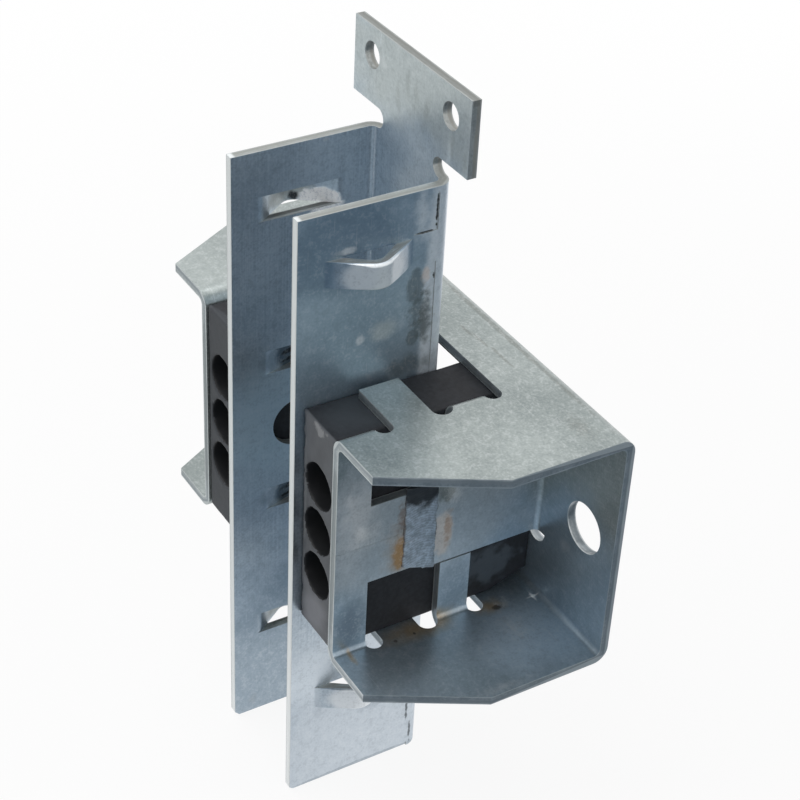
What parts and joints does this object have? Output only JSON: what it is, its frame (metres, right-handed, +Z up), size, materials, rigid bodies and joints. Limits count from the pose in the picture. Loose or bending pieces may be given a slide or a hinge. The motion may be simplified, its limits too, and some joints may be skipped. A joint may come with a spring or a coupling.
{
  "type": "elevator guide shoe",
  "caption": "Sliding guide shoe: an open steel channel with lanced cheeks and a drilled top lug, held by bored rubber blocks in a folded, welded mounting bracket.",
  "frame": {"origin": "on the bracket's back mounting face, midway between its two bolt holes", "axes": "+X across the guide rail along the bolt holes, +Y back into the mounting face, +Z up along the rail and the channel"},
  "size_m": [0.164, 0.078, 0.2503],
  "materials": {
    "galvanised_channel": "galvanised, satin",
    "galvanised_bracket": "galvanised, satin",
    "cushion_rubber": "matt",
    "weld_metal": "as welded"
  },
  "bodies": {
    "bracket": {"bracket": "galvanised_bracket", "left_weld_bead": "weld_metal", "right_weld_bead": "weld_metal", "left_rubber_block": "cushion_rubber", "right_rubber_block": "cushion_rubber"},
    "channel": {"guide_channel": "galvanised_channel"}
  },
  "joints": [
    {"name": "channel_cushion", "type": "slide", "parent": "bracket", "child": "channel", "axis": [1, 0, 0], "range_m": [-0.0025, 0.0025], "stiffness_N_per_m": 60000, "deforming": ["left_rubber_block", "right_rubber_block"]}
  ]
}
